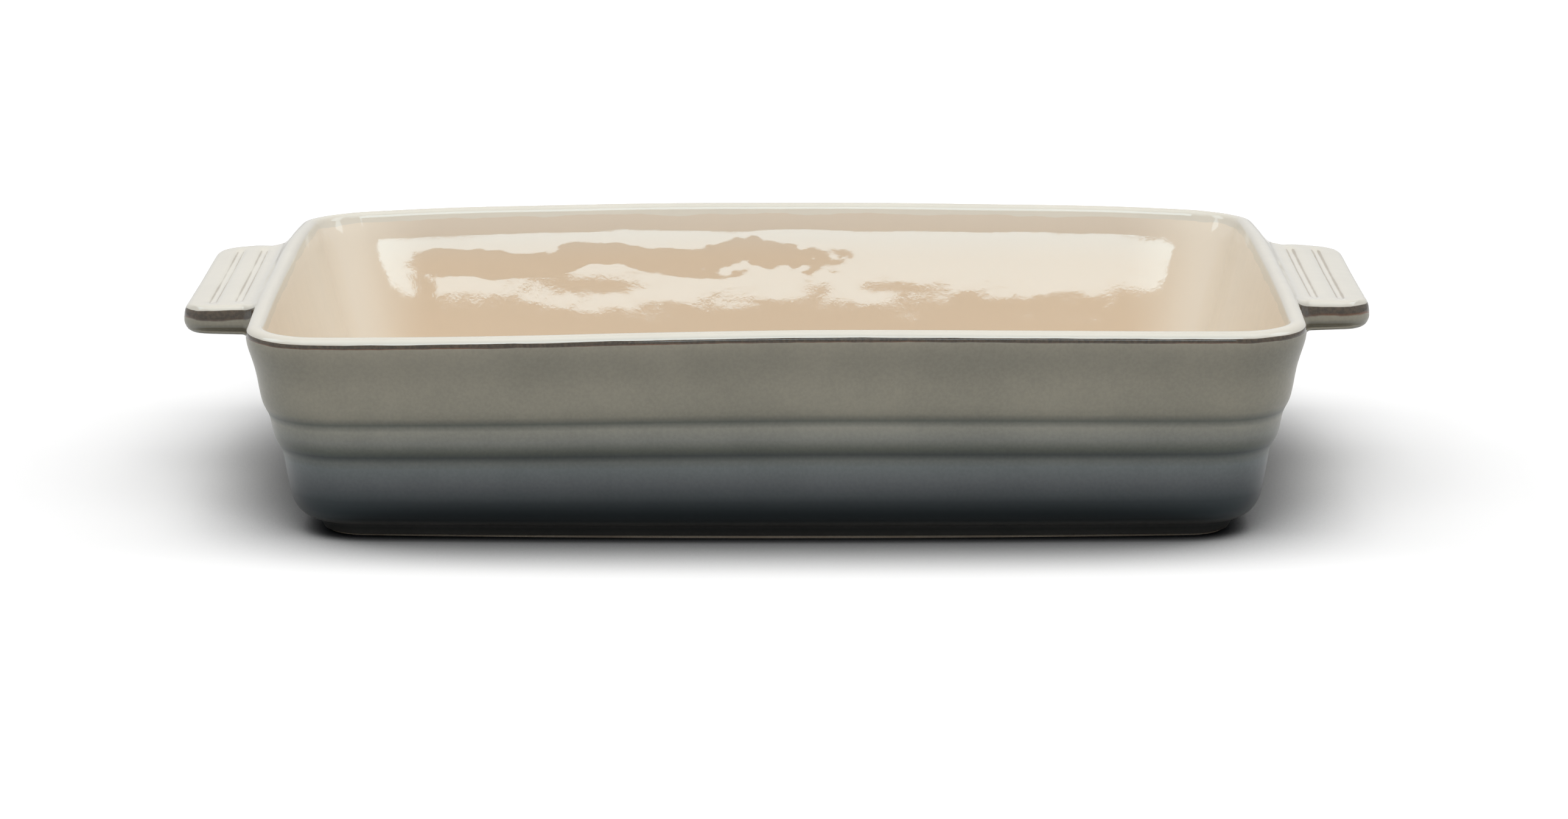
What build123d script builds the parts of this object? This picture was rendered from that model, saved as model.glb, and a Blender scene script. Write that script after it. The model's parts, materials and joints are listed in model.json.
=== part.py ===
from build123d import *
import math
import os

# A rectangular stoneware lasagna dish with two tab handles, in millimetres.
# X runs from handle to handle and Z up, and the origin is under the middle of the dish, on the surface it stands on.

# Tub, measured at the rim line, which is the widest line of the rim
rim_length = 330.0
rim_width = 235.0
tub_height = 70.0
side_bow = 5.0
end_bow = 1.5
rim_corner_radius = 22.0
base_corner_radius = 20.5

# Rim and wall
rim_thickness = 6.0
lip_height = 6.0
lip_outer_radius = 3.4
lip_inner_radius = 2.2

# Outer wall, from the rim line down: the height of each stretch and how far it leans in
flare_height = 12.0
flare_lean = 3.2
upper_band_height = 8.0
upper_band_lean = 1.3
step_height = 4.2
step_lean = 2.0
middle_band_height = 8.0
middle_band_lean = 1.5
base_lean = 1.7
base_round_height = 11.0

# Basin
floor_thickness = 6.0
basin_lean = 15.5
basin_corner_radius = 20.0
floor_radius = 17.0

# Foot ring
foot_height = 5.4
foot_inset = 20.4
foot_ledge = 0.6
foot_lean = 2.5
foot_width = 8.0
foot_corner_radius = 13.0

# Handles
handle_reach = 24.5
handle_root_half_width = 52.0
handle_tip_half_width = 47.5
handle_corner_radius = 11.0
handle_root_radius = 5.0
handle_drop = 3.6
handle_fall = 1.2
handle_thickness = 9.6
handle_crest_radius = 4.0
handle_under_radius = 7.0
handle_top_round = 2.5
handle_bottom_round = 3.0

# Grooves pressed in the handles' tops
groove_width = 3.0
groove_depth = 0.8
groove_half_length = 38.0
inner_groove_reach = 6.5
outer_groove_reach = 15.0

# Glaze
glaze_thickness = 0.5
glaze_parting_drop = 0.8
edge_glaze_height = 1.8
bare_foot_height = 1.0

# Levels worked out from the sizes above
overrun = 10.0
rim_line = tub_height - lip_height
underside = foot_height
floor_level = underside + floor_thickness
handle_top = tub_height - handle_drop
handle_tip_top = handle_top - handle_fall
handle_bottom = handle_top - handle_thickness
handle_tip = rim_length / 2 + handle_reach
glaze_parting = rim_line - glaze_parting_drop

# The outer wall's stretches below the rim line, and the rounding of the flare and the base between their ends
wall_stretches = [
    (upper_band_height, upper_band_lean),
    (step_height, step_lean),
    (middle_band_height, middle_band_lean),
    (step_height, step_lean),
]
flare_steps = 4
base_middle_shares = (0.50, 0.55)
base_round_steps = 4


def plan(level, inset, corner_radius):
    """A level section of the tub: four bowed sides, drawn in from the rim line by inset, with rounded corners."""
    half_length = rim_length / 2 - inset
    half_width = rim_width / 2 - inset
    corner_x = half_length - end_bow
    corner_y = half_width - side_bow
    with BuildSketch(Plane.XY.offset(level)) as section:
        with BuildLine():
            ThreePointArc((-corner_x, -corner_y), (0, -half_width), (corner_x, -corner_y))
            ThreePointArc((corner_x, -corner_y), (half_length, 0), (corner_x, corner_y))
            ThreePointArc((corner_x, corner_y), (0, half_width), (-corner_x, corner_y))
            ThreePointArc((-corner_x, corner_y), (-half_length, 0), (-corner_x, -corner_y))
        make_face()
        fillet(section.vertices(), corner_radius)
    return section.sketch


def wall_stations(depth):
    """The level, inset and corner radius of each section of the outer wall, from the rim line to the underside."""
    points = []
    for step in range(flare_steps + 1):
        share = step / flare_steps
        points.append((rim_line - share * flare_height, math.sin(math.radians(90 * share)) * flare_lean))
    level, inset = points[-1]
    for height, lean in wall_stretches:
        level, inset = level - height, inset + lean
        points.append((level, inset))
    round_level = underside + base_round_height
    round_inset = inset + base_lean
    height_share, lean_share = base_middle_shares
    points.append((level + height_share * (round_level - level), inset + lean_share * base_lean))
    stations = []
    for level, inset in points:
        share = (rim_line - level) / (rim_line - round_level)
        stations.append((level, inset, rim_corner_radius + share * (base_corner_radius - rim_corner_radius)))
    base_reach = foot_inset - foot_ledge - round_inset
    base_drop = base_round_height + glaze_thickness - depth
    for step in range(1, base_round_steps + 1):
        turn = math.radians(90 * step / base_round_steps)
        reach = base_reach * (1 - math.cos(turn))
        stations.append((round_level - base_drop * math.sin(turn), round_inset + reach, base_corner_radius - reach))
    return stations


def tub_block(depth):
    """The tub filled solid, with its surface at a depth below the finished glaze."""
    with BuildPart() as block:
        loft([plan(level, inset + depth, radius - depth) for level, inset, radius in wall_stations(depth)])
        lip_plan = plan(rim_line, depth, rim_corner_radius - depth)
        extrude(lip_plan, amount=lip_height - depth)
        fillet(block.edges().group_by(Axis.Z)[-1], lip_outer_radius - depth)
    return block.part


def basin(depth):
    """The space inside the tub, down to the floor, with its surface at a depth below the finished glaze."""
    floor_inset = rim_thickness + basin_lean
    mouth_corner_radius = rim_corner_radius - rim_thickness
    with BuildPart() as space:
        floor_plan = plan(floor_level - depth, floor_inset - depth, basin_corner_radius + depth)
        mouth_plan = plan(tub_height, rim_thickness - depth, mouth_corner_radius + depth)
        loft([floor_plan, mouth_plan], ruled=True)
        fillet(space.edges().group_by(Axis.Z)[0], floor_radius + depth)
        extrude(mouth_plan, amount=overrun)
    return space.part


def hollow(block, depth):
    """The filled tub with its basin cut out and its rim rounded, at the same depth below the finished glaze."""
    with BuildPart() as shell:
        add(block)
        add(basin(depth), mode=Mode.SUBTRACT)
        crest = shell.faces().sort_by(Axis.Z)[-1]
        fillet(crest.inner_wires()[0].edges(), lip_inner_radius - depth)
    return shell.part


def foot_blank(depth, bottom):
    """The foot ring from its bottom level up into the tub's floor, leaning in towards the surface it stands on."""
    levels = (bottom, underside + floor_thickness / 2)
    insets = [foot_inset + foot_lean * (underside - level) / foot_height for level in levels]
    inner_corner_radius = foot_corner_radius - foot_width
    with BuildPart() as ring:
        loft([plan(z, inset + depth, foot_corner_radius - depth) for z, inset in zip(levels, insets)], ruled=True)
        inner_plan = plan(bottom, insets[0] + foot_width - depth, inner_corner_radius + depth)
        extrude(inner_plan, amount=levels[-1] - bottom, mode=Mode.SUBTRACT)
    return ring.part


def handle_side_view(depth):
    """The right handle's outline from the side: the slope down from the rim, the top, the tip and the underside."""
    lip_centre_x = rim_length / 2 - lip_outer_radius
    lip_centre_z = tub_height - lip_outer_radius
    crest_z = handle_top + handle_crest_radius
    span = lip_outer_radius + handle_crest_radius
    rise = crest_z - lip_centre_z
    run = math.sqrt(span**2 - rise**2)
    crest_share = lip_outer_radius / span
    crest_start = (lip_centre_x + crest_share * run, lip_centre_z + crest_share * rise)
    crest_end = (lip_centre_x + run, handle_top)
    under_x = rim_length / 2 - flare_lean
    under_start = (under_x + handle_under_radius, handle_bottom)
    under_end = (under_x, handle_bottom - handle_under_radius)
    with BuildSketch(Plane.XZ) as side_view:
        with BuildLine():
            RadiusArc(crest_start, crest_end, -handle_crest_radius)
            Polyline(crest_end, (handle_tip, handle_tip_top), (handle_tip, handle_bottom), under_start)
            RadiusArc(under_start, under_end, -handle_under_radius)
            Polyline(
                under_end,
                (under_x - rim_thickness / 2, under_end[1]),
                (rim_length / 2 - rim_thickness / 2, crest_start[1]),
                crest_start,
            )
        make_face()
        if depth:
            offset(amount=-depth)
    return side_view.sketch


def handle_top_view(depth):
    """The right handle's outline from above: tapered, with rounded tip corners, widening where it meets the tub."""
    root_x = rim_length / 2 - end_bow
    inner_x = root_x - rim_thickness
    flare_y = handle_root_half_width + 2 * handle_root_radius
    with BuildSketch() as top_view:
        with BuildLine():
            Polyline(
                (inner_x, -flare_y),
                (root_x, -flare_y),
                (root_x, -handle_root_half_width),
                (handle_tip, -handle_tip_half_width),
                (handle_tip, handle_tip_half_width),
                (root_x, handle_root_half_width),
                (root_x, flare_y),
                (inner_x, flare_y),
                close=True,
            )
        make_face()
        fillet(top_view.vertices().group_by(Axis.X)[-1], handle_corner_radius)
        fillet(top_view.vertices().group_by(Axis.X)[1].sort_by(Axis.Y)[1:-1], handle_root_radius)
        if depth:
            offset(amount=-depth)
    return top_view.sketch


def handle_blank(depth):
    """The right handle and its root in the tub's wall, with its surface at a depth below the finished glaze."""
    with BuildPart() as blank:
        extrude(handle_side_view(depth), amount=rim_width / 2, both=True)
        extrude(handle_top_view(depth), amount=tub_height, mode=Mode.INTERSECT)
        top_face = max(blank.faces().filter_by(GeomType.PLANE), key=lambda face: face.area * face.normal_at().Z)
        fillet(top_face.edges().sort_by(Axis.X)[1:], handle_top_round - depth)
        bottom_face = min(blank.faces().filter_by(GeomType.PLANE), key=lambda face: face.area * face.normal_at().Z)
        fillet(bottom_face.edges().sort_by(Axis.X)[1:], handle_bottom_round - depth)
        groove_radius = (groove_width**2 / 4 + groove_depth**2) / (2 * groove_depth)
        for reach in (inner_groove_reach, outer_groove_reach):
            surface = handle_top - handle_fall * reach / handle_reach
            centre = (rim_length / 2 + reach, 0, surface - groove_depth + groove_radius)
            with Locations(centre):
                Cylinder(groove_radius + depth, 2 * groove_half_length, rotation=(90, 0, 0), mode=Mode.SUBTRACT)
                with Locations((0, -groove_half_length, 0), (0, groove_half_length, 0)):
                    Sphere(groove_radius + depth, mode=Mode.SUBTRACT)
    return blank.part


def join(tub, handle, foot):
    """The whole dish as one shape: the tub with its foot ring and a handle at each end."""
    with BuildPart() as dish:
        add([tub, foot, handle, mirror(handle, about=Plane.YZ)])
    return dish.part


# Clay: the tub, and what is joined to it, face to face
clay_block = tub_block(glaze_thickness)
clay_handle = handle_blank(glaze_thickness)
clay_foot = foot_blank(glaze_thickness, 0)

with BuildPart() as stoneware_tub:
    add(hollow(clay_block, glaze_thickness))

with BuildPart() as right_handle:
    add(clay_handle)
    add(clay_block, mode=Mode.SUBTRACT)

with BuildPart() as left_handle:
    add(mirror(right_handle.part, about=Plane.YZ))

with BuildPart() as foot_ring:
    add(clay_foot)
    add(clay_block, mode=Mode.SUBTRACT)

# Glaze: one film over the clay, parted under the rim into the cream coat, the brown edge band and the grey coat
with BuildPart() as glaze:
    add(join(hollow(tub_block(0), 0), handle_blank(0), foot_blank(0, bare_foot_height)))
    add(join(stoneware_tub.part, clay_handle, clay_foot), mode=Mode.SUBTRACT)
    split(bisect_by=Plane.XY.offset(glaze_parting), keep=Keep.BOTH)

*lower_films, rim_film = glaze.solids().sort_by(lambda film: film.bounding_box().max.Z)
underside_film, basin_film, outer_film = ShapeList(lower_films).sort_by(lambda film: film.bounding_box().size.X)

with BuildPart() as inner_glaze:
    add([rim_film, basin_film])

with BuildPart() as wall_glaze:
    add(outer_film)
    split(bisect_by=Plane.XY.offset(glaze_parting - edge_glaze_height), keep=Keep.BOTH)

outer_coat, edge_band = wall_glaze.solids().sort_by(lambda film: film.bounding_box().max.Z)

with BuildPart() as edge_glaze:
    add(edge_band)

with BuildPart() as outer_glaze:
    add(outer_coat)

with BuildPart() as underside_glaze:
    add(underside_film)

stoneware_tub.part.label = "stoneware_tub"
left_handle.part.label = "left_handle"
right_handle.part.label = "right_handle"
foot_ring.part.label = "foot_ring"
inner_glaze.part.label = "inner_glaze"
edge_glaze.part.label = "edge_glaze"
outer_glaze.part.label = "outer_glaze"
underside_glaze.part.label = "underside_glaze"

os.makedirs("parts", exist_ok=True)
clay = [stoneware_tub, left_handle, right_handle, foot_ring]
for piece in [*clay, inner_glaze, edge_glaze, outer_glaze, underside_glaze]:
    export_step(piece.part, f"parts/{piece.part.label}.step")
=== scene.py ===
# %% [markdown]
# # A glazed stoneware lasagna dish
# The real dish is one pressing of clay: a tub with bowed sides, a rounded rim, two soft steps round its wall, a foot
# ring and a grooved tab at each end. Two coats of glaze meet under the rim and break there into a dark brown line.
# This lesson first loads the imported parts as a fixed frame. What it models is laid over them, in the same place.

# %% The frame
import json
import math

import bmesh
import bpy
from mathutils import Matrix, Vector

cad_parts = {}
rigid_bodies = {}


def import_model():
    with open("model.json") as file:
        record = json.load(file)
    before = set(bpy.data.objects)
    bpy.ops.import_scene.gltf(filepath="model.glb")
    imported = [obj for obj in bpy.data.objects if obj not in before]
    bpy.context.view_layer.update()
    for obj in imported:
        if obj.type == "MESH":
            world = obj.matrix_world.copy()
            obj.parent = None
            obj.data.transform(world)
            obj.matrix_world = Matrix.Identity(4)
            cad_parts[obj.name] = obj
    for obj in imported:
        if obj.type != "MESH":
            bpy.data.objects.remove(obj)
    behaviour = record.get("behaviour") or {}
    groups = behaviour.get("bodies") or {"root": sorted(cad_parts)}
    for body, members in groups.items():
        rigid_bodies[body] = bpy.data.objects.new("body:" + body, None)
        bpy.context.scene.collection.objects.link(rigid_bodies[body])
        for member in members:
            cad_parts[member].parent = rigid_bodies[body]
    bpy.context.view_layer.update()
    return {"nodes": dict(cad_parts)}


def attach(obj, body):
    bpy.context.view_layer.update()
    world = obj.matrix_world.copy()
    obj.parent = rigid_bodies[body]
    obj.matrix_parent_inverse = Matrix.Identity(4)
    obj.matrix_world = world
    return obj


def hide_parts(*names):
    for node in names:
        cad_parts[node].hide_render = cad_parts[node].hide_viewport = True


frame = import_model()
mm = 0.001

# %% [markdown]
# ## The plan of the dish
# Seen from above, the dish is a rectangle with round corners, and each side bows out a little. It could be drawn as a
# curve, but a mesh plane is quicker: its corners are bevelled round, its sides are cut into short pieces, and then the
# middle of each side is pulled out with proportional editing. The falloff called inverse square gives an even bow.

# %% Sizes of the plan
rim_length, rim_width = 330 * mm, 235 * mm
end_bow, side_bow = 1.5 * mm, 5 * mm
corner_radius = 22 * mm
rim_line = 67 * mm
corner_segments = 10
side_cuts = 26


# %% Picking by place
def pick(kind, wanted):
    """Selects the vertices, edges or faces of the mesh in hand that are wanted, and nothing else."""
    bpy.ops.mesh.select_mode(type=kind)
    bpy.ops.mesh.select_all(action="DESELECT")
    cage = bmesh.from_edit_mesh(bpy.context.object.data)
    items = {"VERT": cage.verts, "EDGE": cage.edges, "FACE": cage.faces}[kind]
    picked = [item for item in items if wanted(item)]
    for item in picked:
        item.select_set(True)
    cage.select_flush_mode()
    bmesh.update_edit_mesh(bpy.context.object.data)
    return len(picked)


def middle(item):
    """The middle of an edge or a face."""
    places = [vertex.co for vertex in item.verts]
    return sum(places, Vector()) / len(places)


# %% Draw the plan
bpy.ops.object.select_all(action="DESELECT")
bpy.ops.mesh.primitive_plane_add(size=1)
dish = bpy.context.object
dish.name = "outer_coat"
for name, kind in (("line", "FLOAT"), ("groove", "FLOAT"), ("column", "INT"), ("row", "INT"), ("height", "FLOAT")):
    dish.data.attributes.new(name, kind, "POINT")
bpy.ops.object.mode_set(mode="EDIT")
bpy.ops.transform.resize(value=(rim_length - 2 * end_bow, rim_width - 2 * side_bow, 1))
bpy.ops.transform.translate(value=(0, 0, rim_line))
bpy.ops.mesh.bevel(offset=corner_radius, segments=corner_segments, affect="VERTICES")
bpy.ops.mesh.delete(type="ONLY_FACE")
pick("EDGE", lambda edge: edge.calc_length() > rim_length / 2)
bpy.ops.mesh.subdivide(number_cuts=side_cuts)
half_side_piece = (rim_length - 2 * end_bow - 2 * corner_radius) / (side_cuts + 1) / 2
half_end_piece = (rim_width - 2 * side_bow - 2 * corner_radius) / (side_cuts + 1) / 2

for way in (-1, 1):
    pick("VERT", lambda vertex: vertex.co.y * way > 0 and abs(vertex.co.x) < half_side_piece * 1.1)
    bpy.ops.transform.translate(
        value=(0, way * side_bow, 0), use_proportional_edit=True,
        proportional_edit_falloff="INVERSE_SQUARE", proportional_size=rim_length / 2)
    pick("VERT", lambda vertex: vertex.co.x * way > 0 and abs(vertex.co.y) < half_end_piece * 1.1)
    bpy.ops.transform.translate(
        value=(way * end_bow, 0, 0), use_proportional_edit=True,
        proportional_edit_falloff="INVERSE_SQUARE", proportional_size=rim_width / 2)
bpy.ops.mesh.select_all(action="SELECT")
bpy.ops.mesh.edge_face_add()
outline = bmesh.from_edit_mesh(dish.data)
print("plan:", len(outline.verts), "points,", round(max(v.co.x for v in outline.verts) / mm, 1), "by",
      round(max(v.co.y for v in outline.verts) / mm, 1), "mm from the middle")

# %% [markdown]
# ## The outer wall
# A potter's mould gives the wall its shape, so every level of it has nearly the same plan. The face is extruded down
# and scaled in, level after level, along the wall's measured profile. Where the wall rounds in under the second step,
# the face is inset instead, because an inset keeps the same distance all round and tightens the corners. The foot ring
# stands nearly straight again, so its levels are scaled like those of the wall.

# %% Levels
brown_top, brown_bottom = 68.1 * mm, rim_line
crest, crest_inset = 69.9 * mm, 3.3 * mm
same_level = 0.1 * mm
cap_points = 50
cap = {"level": rim_line, "inset": 0.0, "inside": False}


def keep_line():
    """Tells the points in hand how far up the wall, over the rim and into the basin they lie, in band heights."""
    cage = bmesh.from_edit_mesh(dish.data)
    layer = cage.verts.layers.float["line"]
    climbed = 2 * crest - cap["level"] if cap["inset"] > crest_inset and cap["inside"] else cap["level"]
    for vertex in cage.verts:
        if vertex.select:
            vertex[layer] = (climbed - brown_top) / (brown_top - brown_bottom)


def extruded_level(level, inset, inside=False):
    """The next level of the wall, made from the cap by extruding it and scaling it to its inset from the rim line."""
    bpy.ops.mesh.extrude_region_move(TRANSFORM_OT_translate={"value": (0, 0, level - cap["level"])})
    along = (rim_length / 2 - inset) / (rim_length / 2 - cap["inset"])
    across = (rim_width / 2 - inset) / (rim_width / 2 - cap["inset"])
    bpy.ops.transform.resize(value=(along, across, 1), center_override=(0, 0, level))
    cap.update(level=level, inset=inset, inside=inside)
    keep_line()


def inset_level(level, inset, facing):
    """The next level, made by insetting the cap, which faces up (1) or down (-1)."""
    bpy.ops.mesh.inset(thickness=inset - cap["inset"], depth=facing * (level - cap["level"]))
    cap.update(level=level, inset=inset, inside=facing > 0)
    keep_line()


def pick_cap(level):
    """Selects the large face that closes the mesh at a level."""
    return pick("FACE", lambda face: len(face.verts) > cap_points and abs(middle(face).z - level) < same_level)


# %% From the rim line down to the foot: each level and its inset from the rim line, in millimetres
wall_levels = [
    (64.0, 0.2), (60.2, 1.3), (56.2, 2.45), (52.2, 3.15), (49.5, 3.5), (47.0, 3.95), (44.6, 4.4), (42.4, 5.3),
    (40.2, 6.35), (38.4, 6.75), (35.5, 7.2), (32.6, 7.8), (30.4, 8.8), (28.2, 9.85), (26.2, 10.3), (22.5, 10.8),
    (19.4, 11.2), (16.4, 11.7),
]
base_levels = [(12.0, 12.35), (8.2, 14.2), (5.6, 17.0), (4.9, 19.75)]
foot_levels = [(4.8, 20.7), (3.6, 21.25), (1.0, 22.45)]
first_level, first_inset = (value * mm for value in wall_levels[0])

extruded_level(first_level, first_inset)
pick("VERT", lambda vertex: vertex.co.z > rim_line - same_level)
cap.update(level=rim_line)
keep_line()
cap.update(level=first_level)
bpy.ops.mesh.select_all(action="SELECT")
bpy.ops.mesh.normals_make_consistent(inside=False)
pick_cap(cap["level"])
for level, inset in wall_levels[1:]:
    extruded_level(level * mm, inset * mm)
for level, inset in base_levels:
    inset_level(level * mm, inset * mm, -1)
for level, inset in foot_levels:
    extruded_level(level * mm, inset * mm)
bpy.ops.mesh.delete(type="ONLY_FACE")
print("outer wall: down to", round(cap["level"] / mm, 2), "mm, drawn in by", round(cap["inset"] / mm, 2), "mm")

# %% [markdown]
# ## The rim and the basin
# The face left on top becomes the rim and the basin. The rim is a round bead 6 mm thick, so its levels are insets
# along two arcs. Then the face is pushed down again to make the leaning inner wall, a wide fillet and the floor. The
# floor could stay one face, but a face with more than a hundred sides folds when it is smoothed, so a grid of small
# faces fills it instead.

# %% Over the rim and down to the floor, in millimetres
rim_levels = [(68.1, 0.25), (69.0, 0.9), (69.6, 1.9), (69.9, 3.3), (69.7, 4.6), (68.8, 5.6), (67.0, 6.1)]
inner_wall_levels = (64.0, 57.0, 49.0, 41.0, 33.0, 27.5, 23.7)
rim_top, bead_thickness = 70, 6
lean_at_top, lean_growth = 0.228, 0.00084
floor_level, wall_lean, fillet_radius = 11.4, math.radians(17), 17.0
fillet_shares = (0.25, 0.5, 0.75, 1.0)
floor_insets = (44, 60)

cap.update(level=rim_line, inset=0.0)
pick_cap(rim_line)
extruded_level(rim_levels[0][0] * mm, rim_levels[0][1] * mm)
for level, inset in rim_levels[1:]:
    inset_level(level * mm, inset * mm, 1)
for level in inner_wall_levels:
    below_rim = rim_top - level
    inset = bead_thickness + lean_at_top * below_rim + lean_growth * below_rim**2
    extruded_level(level * mm, inset * mm, inside=True)
centre_inset = cap["inset"] / mm + fillet_radius * math.cos(wall_lean)
for share in fillet_shares:
    turn = wall_lean + (math.pi / 2 - wall_lean) * share
    level = floor_level + fillet_radius * (1 - math.sin(turn))
    extruded_level(level * mm, (centre_inset - fillet_radius * math.cos(turn)) * mm, inside=True)
for inset in floor_insets:
    extruded_level(floor_level * mm, inset * mm, inside=True)
bpy.ops.mesh.delete(type="ONLY_FACE")

# %% Fill the floor with a grid that starts at the right back corner
above_foot = 5 * mm
pick("EDGE", lambda edge: edge.is_boundary and middle(edge).z > above_foot)
loop = bmesh.from_edit_mesh(dish.data)
loop.select_history.add(max(
    (vertex for vertex in loop.verts if vertex.select), key=lambda v: v.co.x / rim_length + v.co.y / rim_width))
bpy.ops.mesh.fill_grid(span=side_cuts + 1 + corner_segments)
keep_line()
bpy.ops.mesh.select_all(action="SELECT")
bpy.ops.mesh.normals_make_consistent(inside=False)
print("basin: floor at", round(cap["level"] / mm, 2), "mm")

# %% [markdown]
# ## The handles
# Each handle is a tab that grows out of the end wall: it leaves the rim in a hollow curve, runs out almost level and
# ends in rounded corners. The faces of the wall where it grows are extruded outwards again and again, and each new
# section is laid on the tab's measured outline. The grooves are pressed into its top by the sections that cross them.

# %% The tab's measures, in millimetres for the right handle
wall_side, outward = 158, 0.3
root_rows, root_half_width = (52.0, 69.1), 59.0
hollow_end, hollow_heights = 168, (67.2, 56.0)
start_half_width, flare_end, flare = 52, 167.9, 0.75
taper, taper_start, taper_length = 4.5, 162.5, 27
tab_top, tab_drop, drop_start, drop_length, tab_bottom = 66.9, 1.5, 165, 24.5, 56.8
tip, tip_half_width, tip_radius = 189.4, 47.5, 8.5


def half_width(x):
    """Half the tab's width at a distance from the middle of the dish."""
    if x < hollow_end:
        return start_half_width + max(0.0, flare_end - x) * flare
    straight = start_half_width - taper * (x - taper_start) / taper_length
    if x <= tip - tip_radius:
        return straight
    return straight - tip_radius + math.sqrt(max(0.0, tip_radius**2 - (x - tip + tip_radius) ** 2))


def top_and_bottom(x):
    """The heights of the tab's top and underside at a distance from the middle of the dish."""
    if x < hollow_end:
        return hollow_heights
    return tab_top - tab_drop * (x - drop_start) / drop_length, tab_bottom


# %% Its points: sections outwards, columns across and rows upwards
sections = [
    166.2, 168.2, 169.7, 170.4, 171.5, 172.6, 173.3, 175.8, 178.2, 178.9, 180.0, 181.1, 181.8, 184.2, 186.6, 189.4]
side_places = [165.9, 167.8] + [168.7 + 0.89 * index for index in range(12)] + [182.7, 186.2]
column_places = [0, 7, 14, 21, 27.5, 33, 37.5, 40.6, 43.9, 47.5]
row_shares = [0, 0.13, 0.27, 0.40, 0.52, 0.81, 1]
row_lines = [-2.8, -2.4, -1.9, -1.42, -0.97, -0.25, 0.67]
row_pulls, pull_sections = [1.7, 0.4, 0, 0, 0, 0.25, 1.5], 3
last_section, last_column, top_row = len(sections) - 1, len(column_places) - 1, len(row_shares) - 1
bend_start, bend_length = 0.8, 0.2
wall_bow, straight_half_width = end_bow / mm, 112.5

# %% Its grooves, and how each tab turned and tilted as it dried
groove_depth, groove_column, groove_edges = 1.1, 6, (3, 5, 9, 11)
groove_depths = {3: 0.75, 4: 1.0, 5: 0.75, 9: 0.75, 10: 1.0, 11: 0.75}
end_turn, turn_length = {1: 0.0, -1: 0.018}, 21.4
end_tilt, tilt_start, tilt_length = {1: 0.8, -1: 0.9}, 166, 8


def tab_point(section, column, row, wall_height, way):
    """Where a point of a section lies, from its column and its row."""
    share = column_places[abs(column)] / column_places[-1]
    y = share * half_width(side_places[section])
    if section == last_section:
        x = tip - tip_radius + math.sqrt(tip_radius**2 - max(0.0, y - tip_half_width + tip_radius) ** 2)
    else:
        bend = max(0.0, (share - bend_start) / bend_length) ** 2
        x = sections[section] - (sections[section] - side_places[section]) * bend
    top, bottom = top_and_bottom(x)
    height_share = row_shares[row]
    pull = row_pulls[row] * min(1, section / pull_sections)
    if section == last_section:
        x -= pull
    if abs(column) == last_column:
        y -= pull
    y = math.copysign(y, column) if column else 0.0
    x -= end_turn[way] * max(0.0, x - hollow_end) / turn_length * (y + tip_half_width)
    if section == 0:
        height_share = (row_shares[row] + (wall_height - root_rows[0]) / (root_rows[1] - root_rows[0])) / 2
        x -= wall_bow * (y / straight_half_width) ** 2
    z = bottom + (top - bottom) * height_share
    z += end_tilt[way] * min(1, max(0, (x - tilt_start) / tilt_length)) * (y + tip_half_width) / (2 * tip_half_width)
    if row == top_row and abs(column) <= groove_column:
        z -= groove_depth * groove_depths.get(section, 0)
    return x, y, z


# %% Number the points of the wall where a tab grows
def number_root(way):
    """Selects the faces that the right tab (way 1) or the left one (way -1) grows from, and numbers their points."""
    pick("FACE", lambda face: middle(face).x * way > wall_side * mm
         and abs(middle(face).y) < root_half_width * mm
         and root_rows[0] * mm < middle(face).z < root_rows[1] * mm
         and face.normal.x * way > outward)
    cage = bmesh.from_edit_mesh(dish.data)
    layers = cage.verts.layers
    picked = [vertex for vertex in cage.verts if vertex.select]
    levels = sorted({round(vertex.co.z / mm, 1) for vertex in picked})
    outermost = {level: max(abs(v.co.y) for v in picked if round(v.co.z / mm, 1) == level) for level in levels}
    for vertex in picked:
        level = round(vertex.co.z / mm, 1)
        vertex[layers.int["column"]] = round(last_column * vertex.co.y / outermost[level])
        vertex[layers.int["row"]] = levels.index(level)
        vertex[layers.float["height"]] = vertex.co.z / mm
    bmesh.update_edit_mesh(dish.data)
    return levels


# %% Grow a tab at each end
def grow_tab(way):
    """Extrudes the selected faces into a tab, section after section."""
    for section in range(len(sections)):
        bpy.ops.mesh.extrude_region_move(TRANSFORM_OT_translate={"value": (way * mm, 0, 0)})
        cage = bmesh.from_edit_mesh(dish.data)
        layers = cage.verts.layers
        for vertex in cage.verts:
            if vertex.select:
                column, row = vertex[layers.int["column"]], vertex[layers.int["row"]]
                x, y, z = tab_point(section, column, row, vertex[layers.float["height"]], way)
                vertex.co = (way * x * mm, y * mm, z * mm)
                vertex[layers.float["line"]] = row_lines[row]
                on_groove_edge = section in groove_edges and row == top_row and abs(column) <= groove_column
                vertex[layers.float["groove"]] = float(on_groove_edge)
        bmesh.update_edit_mesh(dish.data)


for way in (1, -1):
    print("tab rows at the wall:", number_root(way))
    grow_tab(way)
bpy.ops.object.mode_set(mode="OBJECT")

# %% [markdown]
# ## Smoothing and warping the clay
# The cage so far has hard little corners. One level of Subdivision Surface turns it into the soft shape of a glazed
# pressing. The real dish also sagged a little while it dried and was fired: the corners of its rim lie up to 3 mm
# lower than the middle of its long sides. Every point could be moved by hand, but a lattice pulls the whole shape at
# once.

# %% Smooth the cage
subdivision = dish.modifiers.new("smooth clay", "SUBSURF")
subdivision.levels = subdivision.render_levels = 1
bpy.context.view_layer.objects.active = dish
dish.select_set(True)
bpy.ops.object.modifier_apply(modifier=subdivision.name)
bpy.ops.object.shade_smooth()
print("smooth dish:", len(dish.data.vertices), "points")

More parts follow.
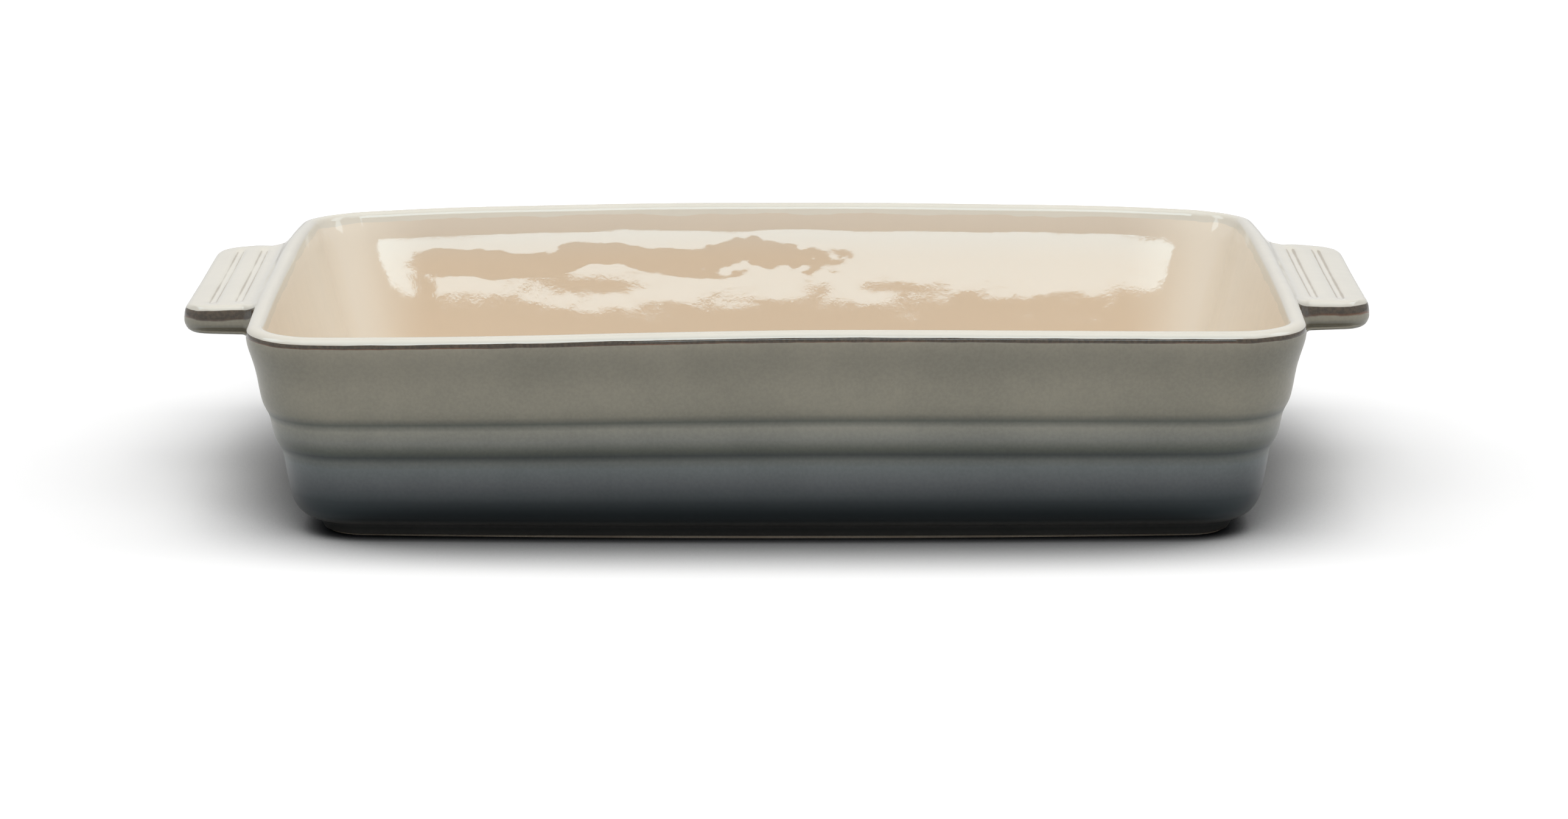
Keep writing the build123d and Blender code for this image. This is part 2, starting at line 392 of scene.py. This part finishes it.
# %% Warp it with a lattice: how far the rim drops from left to right, in millimetres, and the share of it by height
lattice_size = Vector((380 * mm, 236 * mm, 72 * mm))
sag = {
    "front": (3.0, 3.0, 1.5, 0.0, 0.1, 0.9, 1.2),
    "front tab": (2.0, 1.2, 0.6, 0.0, 0.0, 0.3, 0.1),
    "middle": (1.2, 0.7, 0.3, 0.0, 0.0, 0.0, 0.1),
    "back tab": (0.5, 0.8, 0.3, 0.0, 0.0, 0.2, 0.2),
    "back": (4.8, 2.0, 0.5, 0.0, 0.3, 1.3, 4.0),
}
sag_shares = (0.0, 0.7, 1.0)
bpy.ops.object.select_all(action="DESELECT")
bpy.ops.object.add(type="LATTICE", location=(0, 0, lattice_size.z / 2))
lattice = bpy.context.object
lattice.scale = lattice_size
lattice.data.points_u, lattice.data.points_v, lattice.data.points_w = len(sag["front"]), len(sag), len(sag_shares)
lattice.data.interpolation_type_u = lattice.data.interpolation_type_v = "KEY_CARDINAL"
lattice.data.interpolation_type_w = "KEY_LINEAR"
lattice_points = iter(lattice.data.points)
for share in sag_shares:
    for drops in sag.values():
        for drop in drops:
            next(lattice_points).co_deform.z -= share * drop * mm / lattice_size.z
warp = dish.modifiers.new("warp", "LATTICE")
warp.object = lattice
bpy.context.view_layer.objects.active = dish
dish.select_set(True)
bpy.ops.object.modifier_apply(modifier=warp.name)
bpy.data.objects.remove(lattice)
print("highest point of the warped rim:", round(max(vertex.co.z for vertex in dish.data.vertices) / mm, 2), "mm")

# %% [markdown]
# ## The clay body under the glaze
# The body is the same shape half a millimetre further in. A copy of the skin loses its foot, is closed underneath and
# is shrunk along its normals, which keeps the glaze equally thick all over. It could be left out, because no one sees
# it, but then the coats would be shells round nothing.

# %% The body
glaze_thickness = 0.5 * mm
underside = 4.85 * mm
bpy.ops.object.select_all(action="DESELECT")
dish.select_set(True)
bpy.ops.object.duplicate()
body = bpy.context.object
body.name = "fired_clay"
bpy.ops.object.mode_set(mode="EDIT")
pick("VERT", lambda vertex: vertex.co.z < underside - glaze_thickness)
bpy.ops.mesh.delete(type="VERT")
bpy.ops.mesh.select_all(action="DESELECT")
bpy.ops.mesh.select_non_manifold()
bpy.ops.mesh.edge_face_add()
bpy.ops.mesh.select_all(action="SELECT")
bpy.ops.mesh.normals_make_consistent(inside=False)
bpy.ops.transform.shrink_fatten(value=-glaze_thickness)
bpy.ops.object.mode_set(mode="OBJECT")
print("clay body: z", [round(end(vertex.co.z for vertex in body.data.vertices) / mm, 2) for end in (min, max)], "mm")

# %% [markdown]
# ## Three coats of glaze
# The cream coat covers the basin, the rim and the tops of the tabs, the grey one the outside, and between them runs
# the brown band where they meet. All three are one skin here, so its faces are parted along the two lines and each
# part is given the thickness of the glaze. Parting would leave a crease in the shading, so the skin's own normals are
# kept.

# %% Part the skin into coats
skin_normal = dish.data.attributes.new("skin_normal", "FLOAT_VECTOR", "POINT")
skin_normal.data.foreach_set("vector", [part for vertex in dish.data.vertices for part in vertex.normal])


def line_of(face):
    """How far up the wall a face lies, in band heights above the end of the cream."""
    layer = bmesh.from_edit_mesh(dish.data).verts.layers.float["line"]
    return sum(vertex[layer] for vertex in face.verts) / len(face.verts)


def part_off(name, wanted):
    """Parts the wanted faces from the skin, as a coat of their own."""
    before = set(bpy.data.objects)
    bpy.ops.object.select_all(action="DESELECT")
    bpy.context.view_layer.objects.active = dish
    dish.select_set(True)
    bpy.ops.object.mode_set(mode="EDIT")
    pick("FACE", wanted)
    bpy.ops.mesh.separate(type="SELECTED")
    bpy.ops.object.mode_set(mode="OBJECT")
    coat = (set(bpy.data.objects) - before).pop()
    coat.name = name
    return coat


cream_coat = part_off("cream_coat", lambda face: line_of(face) > 0)
brown_band = part_off("brown_band", lambda face: line_of(face) > -1)
grey_coat = dish
grey_coat.name = "grey_coat"

# %% Give each coat its thickness
sharp_edge = math.radians(50)


def thicken(coat):
    """Turns a parted skin into a coat of glaze and gives its outer side the normals of the whole skin."""
    outer_faces = len(coat.data.polygons)
    solidify = coat.modifiers.new("glaze thickness", "SOLIDIFY")
    solidify.thickness, solidify.offset = glaze_thickness, -1
    bpy.ops.object.select_all(action="DESELECT")
    bpy.context.view_layer.objects.active = coat
    coat.select_set(True)
    bpy.ops.object.modifier_apply(modifier=solidify.name)
    bpy.ops.object.shade_smooth_by_angle(angle=sharp_edge)
    mesh = coat.data
    kept = [point.vector for point in mesh.attributes["skin_normal"].data]
    normals = [Vector()] * len(mesh.loops)
    for face in mesh.polygons[:outer_faces]:
        for corner in face.loop_indices:
            normals[corner] = kept[mesh.loops[corner].vertex_index].copy()
    mesh.normals_split_custom_set(normals)
    for name in ("skin_normal", "column", "row", "height"):
        mesh.attributes.remove(mesh.attributes[name])
    print(coat.name, len(mesh.polygons), "faces")


for coat in (cream_coat, brown_band, grey_coat):
    thicken(coat)

# %% Hang the pieces on the frame
for piece, nodes, slot in (
    (cream_coat, ["inner_glaze"], "cream_glaze"),
    (brown_band, ["edge_glaze"], "brown_glaze"),
    (grey_coat, ["outer_glaze"], "grey_glaze"),
    (body, ["stoneware_tub", "left_handle", "right_handle"], "clay"),
):
    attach(piece, "root")
    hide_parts(*nodes)

# %% [markdown]
# ## The glaze
# One reactive glaze makes all the colours: it fires cream where it is thick, tan in the basin, brown where it breaks
# over the edge, and grey outside, darker towards the foot, partly from the glaze itself and partly as painted shade.
# The dark lines at the two steps are also partly pooled glaze and partly painted shade, the light lines at the foot
# are painted light, and the paler tan of the basin's end walls is painted light too. Three plain colours would meet in
# ruled lines. Here one set of nodes reads how far up the wall each point lies, and noise makes the lines wander as the
# real ones do.

# %% Small helpers for nodes


def add_node(tree, kind, **settings):
    """A node with the values of its sockets and its properties, all given by name."""
    node = tree.nodes.new("ShaderNode" + kind)
    for name, value in settings.items():
        if name in node.inputs:
            node.inputs[name].default_value = value
        else:
            setattr(node, name, value)
    return node


def math_node(tree, operation, first, second):
    """One operation on two values, each a socket or a number."""
    node = add_node(tree, "Math", operation=operation)
    for slot, value in enumerate((first, second)):
        if isinstance(value, bpy.types.NodeSocket):
            tree.links.new(value, node.inputs[slot])
        else:
            node.inputs[slot].default_value = value
    return node.outputs["Value"]


def step(tree, value, low, high, start=0.0, end=1.0):
    """A smooth step of a value between two levels."""
    node = add_node(tree, "MapRange", interpolation_type="SMOOTHSTEP")
    tree.links.new(value, node.inputs["Value"])
    for name, number in (("From Min", low), ("From Max", high), ("To Min", start), ("To Max", end)):
        node.inputs[name].default_value = number
    return node.outputs["Result"]


def mixed(tree, share, first, second):
    """A colour between two, each a socket or a colour."""
    node = add_node(tree, "Mix", data_type="RGBA")
    tree.links.new(share, node.inputs["Factor"])
    for name, colour in (("A", first), ("B", second)):
        slot = [s for s in node.inputs if s.name == name and s.type == "RGBA"][0]
        if isinstance(colour, bpy.types.NodeSocket):
            tree.links.new(colour, slot)
        else:
            slot.default_value = (*colour, 1)
    return [s for s in node.outputs if s.type == "RGBA"][0]


def noise(tree, place, scale, detail=2.0, roughness=0.5, stretch=(1, 1, 1), shift=(0, 0, 0)):
    """Noise at a scale, in patches to the metre, from 0 to 1 round 0.5."""
    mapping = add_node(tree, "Mapping", Scale=stretch, Location=shift)
    tree.links.new(place, mapping.inputs["Vector"])
    node = add_node(tree, "TexNoise", Scale=scale, Detail=detail, Roughness=roughness)
    tree.links.new(mapping.outputs["Vector"], node.inputs["Vector"])
    return node.outputs["Fac"]


# %% Helpers for whole materials


def new_material(name):
    """A new material, its nodes, its shader and the place of each point on the object."""
    material = bpy.data.materials.new(name)
    material.use_nodes = True
    tree = material.node_tree
    return material, tree, tree.nodes["Principled BSDF"], add_node(tree, "TexCoord").outputs["Object"]


def clouds(tree, place):
    """Soft patches about four centimetres across."""
    return noise(tree, place, 25, 4, 0.6)


def specks(tree, place):
    """Specks about a millimetre across."""
    return noise(tree, place, 900, 2, 0.6)


def raise_surface(tree, shader, height):
    """Lets a height, in metres, bump the surface."""
    bump = add_node(tree, "Bump", Strength=1.0, Distance=1.0)
    tree.links.new(height, bump.inputs["Height"])
    tree.links.new(bump.outputs["Normal"], shader.inputs["Normal"])


# %% Colours of the glaze, the greys by their height up to the top of the ramp
cream, thin_cream = (0.745, 0.705, 0.615), (0.42, 0.36, 0.28)
# The paler tan of the basin's end walls is painted light.
tan, pale_tan, painted_light_end_tan = (0.71, 0.572, 0.42), (0.71, 0.62, 0.51), (0.84, 0.76, 0.64)
brown, rust = (0.085, 0.058, 0.036), (0.26, 0.095, 0.035)
# The greys hold painted shade and painted light: the dark dips at the two steps are partly glaze pooled in the hollows
# and partly painted shade, the darkening towards the base is partly the glaze and partly painted shade, and the
# lighter stops at the foot's bottom edge and at its ledge are painted light.
grey_with_painted_light_by_height = [
    (0.0, (0.110, 0.105, 0.097)), (0.05, (0.045, 0.045, 0.043)), (0.078, (0.110, 0.106, 0.100)),
    (0.105, (0.012, 0.013, 0.013)), (0.14, (0.006, 0.006, 0.006)), (0.20, (0.021, 0.019, 0.019)),
    (0.30, (0.125, 0.124, 0.125)), (0.365, (0.182, 0.193, 0.188)), (0.395, (0.190, 0.190, 0.170)),
    (0.424, (0.075, 0.076, 0.067)), (0.452, (0.150, 0.147, 0.114)), (0.50, (0.290, 0.282, 0.244)),
    (0.555, (0.385, 0.365, 0.305)), (0.587, (0.165, 0.160, 0.128)), (0.62, (0.385, 0.352, 0.272)),
    (0.80, (0.365, 0.330, 0.255)), (0.96, (0.350, 0.315, 0.243)),
]
ramp_top = 70 * mm

# %% The grey of the outside


def wall_grey_with_painted_light(tree, line, cloud, speck):
    """The grey glaze, by how far up the wall a point lies, a little uneven, with painted shade and painted light in
    it.
    """
    ramp = add_node(tree, "ValToRGB")
    band_height, band_end = (brown_top - brown_bottom) / ramp_top, brown_top / ramp_top
    even_height = math_node(tree, "ADD", math_node(tree, "MULTIPLY", line, band_height), band_end)
    tree.links.new(even_height, ramp.inputs["Fac"])
    stops = ramp.color_ramp.elements
    while len(stops) > 1:
        stops.remove(stops[-1])
    for index, (level, colour) in enumerate(grey_with_painted_light_by_height):
        stop = stops[0] if index == 0 else stops.new(level)
        stop.position, stop.color = level, (*colour, 1)
    uneven = math_node(tree, "ADD", step(tree, cloud, 0.3, 0.7, 0.88, 1.06), step(tree, speck, 0.3, 0.7, -0.03, 0.07))
    varied = add_node(tree, "HueSaturation")
    tree.links.new(ramp.outputs["Color"], varied.inputs["Color"])
    tree.links.new(uneven, varied.inputs["Value"])
    return varied.outputs["Color"]


# %% The brown of the band and the cream and tan of the inside
basin_top, basin_wander = (4.5, 4.9), 5.0
painted_light_end_span = (118 * mm, 150 * mm)


def band_colour(tree, ragged_low, cloud, speck):
    """Dark brown with lighter specks, and rust where it runs out over the grey."""
    rusty = math_node(tree, "MULTIPLY", step(tree, ragged_low, -0.72, -1.0), step(tree, cloud, 0.42, 0.62, 0.1, 0.85))
    speckled = mixed(tree, step(tree, speck, 0.35, 0.7), brown, tuple(c * 1.5 for c in brown))
    return mixed(tree, rusty, speckled, rust)


def inside_colour(tree, line, wander, along, cloud):
    """Cream on the rim, thin on the grooves' edges, and tan in the basin, painted paler on its end walls as painted
    light.
    """
    thick = mixed(tree, step(tree, cloud, 0.3, 0.7), cream, tuple(c * 0.96 for c in cream))
    groove = add_node(tree, "Attribute", attribute_name="groove").outputs["Fac"]
    is_thin = step(tree, math_node(tree, "MULTIPLY", groove, cloud), 0.22, 0.5, 0.0, 0.9)
    rim = mixed(tree, is_thin, thick, thin_cream)
    basin = mixed(tree, step(tree, line, 6, 20), pale_tan, tan)
    # Painted light: the basin's end walls are made paler.
    basin = mixed(tree, step(tree, math_node(tree, "ABSOLUTE", along, 0), *painted_light_end_span), basin, painted_light_end_tan)
    ragged_top = math_node(tree, "ADD", line, math_node(tree, "MULTIPLY", wander, basin_wander))
    return mixed(tree, step(tree, ragged_top, *basin_top), rim, basin)


# %% The relief of the glaze, and where it swells on the back wall
wave_height, ripple_height, peel_height = 0.4 * mm, 0.07 * mm, 0.004 * mm
swell_start, swell_end, swell_back = (-132 * mm, -112 * mm), (-10 * mm, 50 * mm), (40 * mm, 80 * mm)
swell_foot, swell_wobble, swell_height = (64 * mm, 53 * mm), 14 * mm, 0.3 * mm


def relief(tree, place, along, across, up, speck):
    """The height of the glaze's waves, swell, ripples and peel."""
    waves = math_node(tree, "MULTIPLY", noise(tree, place, 14, 2, 0.5, stretch=(1, 1, 2)), wave_height)
    in_length = math_node(tree, "MULTIPLY", step(tree, along, *swell_start), step(tree, along, *swell_end, 1.0, 0.0))
    swell = math_node(tree, "MULTIPLY", in_length, step(tree, across, *swell_back))
    wobble = math_node(tree, "MULTIPLY", noise(tree, place, 35, 3, 0.6), swell_wobble)
    rising = step(tree, math_node(tree, "ADD", up, wobble), *swell_foot, 0.0, swell_height)
    waves = math_node(tree, "ADD", waves, math_node(tree, "MULTIPLY", swell, rising))
    ripples = math_node(tree, "MULTIPLY", noise(tree, place, 60, 2, 0.5), ripple_height)
    peel = math_node(tree, "MULTIPLY", speck, peel_height)
    return math_node(tree, "ADD", math_node(tree, "ADD", waves, ripples), peel)


# %% Build the glaze, with its borders in band heights
cream_border, grey_border, gloss_border = (-0.07, 0.07), (-1.1, -0.92), (-1.2, -0.8)


def wandering(tree, place, reach, scale, detail, shift=(0, 0, 0)):
    """Noise round nought that makes a border wander."""
    centred = math_node(tree, "SUBTRACT", noise(tree, place, scale, detail, shift=shift), 0.5)
    return math_node(tree, "MULTIPLY", centred, reach)


def glaze(name):
    """The whole glaze, as a material."""
    material, tree, shader, place = new_material(name)
    line = add_node(tree, "Attribute", attribute_name="line").outputs["Fac"]
    axes = add_node(tree, "SeparateXYZ")
    tree.links.new(place, axes.inputs["Vector"])
    along, across, up = (axes.outputs[axis] for axis in "XYZ")
    cloud, speck = clouds(tree, place), specks(tree, place)
    wander = wandering(tree, place, 0.55, 70, 3)
    ragged = math_node(tree, "ADD", line, wander)
    ragged_low = math_node(tree, "ADD", line, wandering(tree, place, 0.6, 90, 2, shift=(3, 1, 2)))

    band = band_colour(tree, ragged_low, cloud, speck)
    inside = inside_colour(tree, line, wander, along, cloud)
    above_grey = mixed(tree, step(tree, ragged, *cream_border), band, inside)
    grey = wall_grey_with_painted_light(tree, line, cloud, speck)
    tree.links.new(mixed(tree, step(tree, ragged_low, *grey_border), grey, above_grey), shader.inputs["Base Color"])

    gloss = step(tree, ragged_low, *gloss_border, 0.33, 0.035)
    roughness = math_node(tree, "ADD", gloss, step(tree, speck, 0.3, 0.7, -0.01, 0.01))
    tree.links.new(roughness, shader.inputs["Roughness"])
    raise_surface(tree, shader, relief(tree, place, along, across, up, speck))
    shader.inputs["IOR"].default_value = 1.55
    shader.inputs["Specular Tint"].default_value = (0.68, 0.9, 1.0, 1)
    return material


# %% Glaze the coats
for coat, name in ((cream_coat, "cream_glaze"), (brown_band, "brown_glaze"), (grey_coat, "grey_glaze")):
    coat.data.materials.clear()
    coat.data.materials.append(glaze(name))
print("glazed:", [coat.name for coat in (cream_coat, brown_band, grey_coat)])

# %% [markdown]
# ## Bare clay and the grey underside
# The foot's bottom edge is wiped clean before firing, so that the dish doesn't stick to the kiln shelf. It shows the
# fired clay: tan, matte and a little sandy. The underside inside the ring has the dark end of the grey glaze.

# %% Clay


def bare_clay():
    """Fired clay without glaze."""
    material, tree, shader, place = new_material("clay")
    sand, patch = noise(tree, place, 1500, 3, 0.7), noise(tree, place, 60, 3, 0.6)
    sandy = mixed(tree, step(tree, sand, 0.35, 0.7), (0.68, 0.59, 0.47), (0.82, 0.74, 0.62))
    tree.links.new(mixed(tree, step(tree, patch, 0.35, 0.75), sandy, (0.62, 0.53, 0.42)), shader.inputs["Base Color"])
    tree.links.new(step(tree, sand, 0.3, 0.7, 0.7, 0.9), shader.inputs["Roughness"])
    raise_surface(tree, shader, math_node(tree, "MULTIPLY", sand, 0.06 * mm))
    return material


# %% Grey underside


def underside_coat():
    """The dark end of the grey glaze."""
    material, tree, shader, place = new_material("underside_glaze")
    cloud, speck = clouds(tree, place), specks(tree, place)
    pooled = mixed(tree, step(tree, cloud, 0.3, 0.7), (0.045, 0.050, 0.053), (0.085, 0.090, 0.090))
    tree.links.new(mixed(tree, step(tree, speck, 0.45, 0.8), pooled, (0.12, 0.12, 0.11)), shader.inputs["Base Color"])
    tree.links.new(step(tree, speck, 0.3, 0.7, 0.34, 0.44), shader.inputs["Roughness"])
    raise_surface(tree, shader, math_node(tree, "MULTIPLY", speck, 0.01 * mm))
    return material


clay = bare_clay()
for piece, material in ((body, clay), (frame["nodes"]["foot_ring"], clay),
                        (frame["nodes"]["underside_glaze"], underside_coat())):
    piece.data.materials.clear()
    piece.data.materials.append(material)

# %% [markdown]
# ## Camera
# The photograph was taken from a little above the rim with a long lens. The lens, the distance and the height come
# from fitting the dish's known rim, foot and steps to where they appear in it.

# %% Place the camera
camera_place = Vector((2.4 * mm, -1633.6 * mm, 372.4 * mm))
look_at = Vector((2.4 * mm, 0, 20.7 * mm))
camera_data = bpy.data.cameras.new("camera")
camera = bpy.data.objects.new("camera", camera_data)
bpy.context.scene.collection.objects.link(camera)
camera.location = camera_place
camera.rotation_euler = (look_at - camera_place).to_track_quat("-Z", "Y").to_euler()
camera_data.lens = 116.8
camera_data.sensor_width = 36
bpy.context.scene.camera = camera

# %% [markdown]
# ## White ground and soft light
# A product photographer sets such a dish on a white sheet, with a large soft box above it and another behind the
# camera, whose light the inner wall mirrors. White comes from the sheet's own colour, not from stronger lamps. To the
# camera and in reflections the sheet is white, and to all other light it is a mid grey, so that it doesn't wash out
# the dish's underside. The shadow round the foot is painted into the sheet's colour by an ambient occlusion node.

# %% Floor
floor_size = 14
painted_contact_shadow, grey_sheet, white_sheet = (0.015, 0.017, 0.02), (0.3, 0.3, 0.3), (1.0, 1.0, 1.0)
shadow_reach = 55 * mm
glow_start, glow_end, glow_strength = 0.28, 0.7, 0.8


def light_path(tree):
    """Whether a ray comes from the camera, and whether it comes from the camera or from a reflection."""
    path = add_node(tree, "LightPath")
    seen = path.outputs["Is Camera Ray"]
    return seen, math_node(tree, "MAXIMUM", seen, path.outputs["Is Glossy Ray"])


bpy.ops.object.select_all(action="DESELECT")
bpy.ops.mesh.primitive_plane_add(size=floor_size)
floor = bpy.context.object
floor.name = "floor"
paper, tree, shader, place = new_material("paper")
shader.inputs["Roughness"].default_value = 0.9
shader.inputs["Specular IOR Level"].default_value = 0.0
seen, seen_or_mirrored = light_path(tree)
# Painted shadow: an ambient occlusion node darkens the sheet's colour where the dish stands close above it.
painted_shadow_occlusion = add_node(tree, "AmbientOcclusion", Distance=shadow_reach)
shaded_sheet = mixed(tree, step(tree, painted_shadow_occlusion.outputs["AO"], 0.1, 0.95), painted_contact_shadow, white_sheet)
tree.links.new(mixed(tree, seen_or_mirrored, grey_sheet, shaded_sheet), shader.inputs["Base Color"])
away = add_node(tree, "VectorMath", operation="LENGTH")
tree.links.new(place, away.inputs[0])
glow = step(tree, away.outputs["Value"], glow_start, glow_end, 0.0, glow_strength)
shader.inputs["Emission Color"].default_value = (1, 1, 1, 1)
tree.links.new(math_node(tree, "MULTIPLY", seen, glow), shader.inputs["Emission Strength"])
floor.data.materials.append(paper)

# %% World
mirrored_strength = 0.75
ambient_at_horizon, ambient_above = 0.06, 0.55
bpy.context.scene.view_settings.view_transform = "Standard"
world = bpy.data.worlds.new("world")
bpy.context.scene.world = world
world.use_nodes = True
tree = world.node_tree
background = tree.nodes["Background"]
background.inputs["Color"].default_value = (1, 1, 1, 1)
seen, seen_or_mirrored = light_path(tree)
direction = add_node(tree, "SeparateXYZ")
tree.links.new(add_node(tree, "TexCoord").outputs["Generated"], direction.inputs["Vector"])
ambient = step(tree, direction.outputs["Z"], 0.0, 0.9, ambient_at_horizon, ambient_above)
dimmed = math_node(tree, "MULTIPLY", ambient, math_node(tree, "SUBTRACT", 1.0, seen_or_mirrored))
white = math_node(tree, "MAXIMUM", seen, math_node(tree, "MULTIPLY", seen_or_mirrored, mirrored_strength))
tree.links.new(math_node(tree, "ADD", white, dimmed), background.inputs["Strength"])

# %% Lamps


def soft_box(name, place, width, depth, power):
    """A rectangular lamp that points at the dish."""
    bpy.ops.object.select_all(action="DESELECT")
    bpy.ops.object.light_add(type="AREA", location=place)
    lamp = bpy.context.object
    lamp.name = name
    lamp.data.shape = "RECTANGLE"
    lamp.data.size, lamp.data.size_y, lamp.data.energy = width, depth, power
    lamp.rotation_euler = (Vector((0, 0, 50 * mm)) - lamp.location).to_track_quat("-Z", "Y").to_euler()
    return lamp


soft_box("overhead", (0, -0.25, 1.7), 2.4, 1.6, 14)
soft_box("high_front", (0.15, -1.9, 2.1), 1.5, 0.8, 16)
soft_box("left", (-1.8, 0.2, 1.6), 1.0, 1.0, 8)
soft_box("right", (1.8, 0.2, 1.6), 1.0, 1.0, 8)
soft_box("behind_camera", (0.27, -2.8, 1.028), 1.04, 0.216, 4.4)
